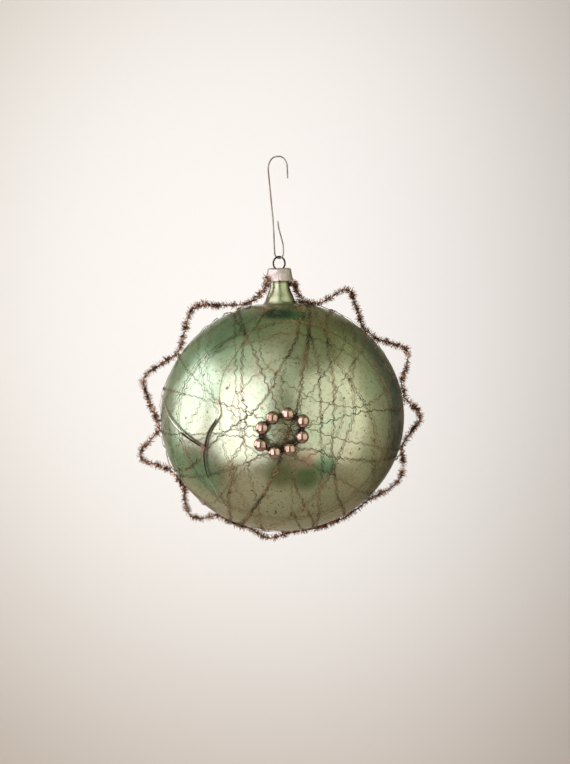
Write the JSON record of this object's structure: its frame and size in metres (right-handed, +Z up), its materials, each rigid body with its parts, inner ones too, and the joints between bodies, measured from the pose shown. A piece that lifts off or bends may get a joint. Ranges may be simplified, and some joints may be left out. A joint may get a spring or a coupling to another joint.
{
  "type": "wire-wrapped glass ball ornament",
  "caption": "Blown glass ball ornament wrapped in crinkled wire, with a tinsel star, a bead rosette, a tin cap with a spring clip, and a wire hanging hook.",
  "frame": {"origin": "hanging point, at the inside top of the hook's crook", "axes": "+Z up along the hanging axis, +Y away from the bead rosette, +X to the rosette side's right"},
  "size_m": [0.0979, 0.0905, 0.1332],
  "materials": {
    "lustre_glass": "satin green lustre over silvered glass, with age specks",
    "tin_cap": "dull pressed tin, slightly tarnished",
    "dark_wire": "dark oxidised wire",
    "hook_wire": "grey drawn wire",
    "tinsel": "tarnished copper tinsel fringe on a twisted core",
    "mirror_bead": "mirrored copper-rose glass",
    "crinkle_wire": "tarnished copper crinkle wire",
    "lametta": "flat bright lametta, dulled in places",
    "knot_thread": "pinkish brown thread"
  },
  "bodies": {
    "hook": {"hanging_hook": "hook_wire"},
    "cap": {"cap": "tin_cap", "clip": "dark_wire"},
    "ball": {"glass_ball": "lustre_glass", "tinsel_garland": "tinsel", "bead_1": "mirror_bead", "bead_2": "mirror_bead", "bead_3": "mirror_bead", "bead_4": "mirror_bead", "bead_5": "mirror_bead", "bead_6": "mirror_bead", "bead_7": "mirror_bead", "bead_8": "mirror_bead", "bead_wire": "crinkle_wire", "rosette_tie": "crinkle_wire", "wrap_wire_waist": "crinkle_wire", "wrap_wire_centre": "crinkle_wire", "wrap_wire_slant": "crinkle_wire", "wrap_wire_waist_low": "crinkle_wire", "wrap_wire_left_slant": "crinkle_wire", "wrap_wire_low_right": "crinkle_wire", "wrap_wire_right_inner": "crinkle_wire", "wrap_wire_right_middle": "crinkle_wire", "wrap_wire_left_inner": "crinkle_wire", "wrap_wire_left_outer": "crinkle_wire", "wrap_wire_right_outer": "crinkle_wire", "wrap_wire_right_low": "crinkle_wire", "wrap_wire_cross": "crinkle_wire", "lametta_long": "lametta", "lametta_short": "lametta", "strand_knot": "knot_thread"}
  },
  "joints": [
    {"name": "hook_swing", "type": "hinge", "parent": "hook", "child": "cap", "pos_m": [0, 0, -0.034], "axis": [0.866, 0.5, 0], "range_deg": [-80, 80]},
    {"name": "cap_pull", "type": "slide", "parent": "cap", "child": "ball", "axis": [0, 0, -1], "range_m": [0, 0.017]}
  ]
}
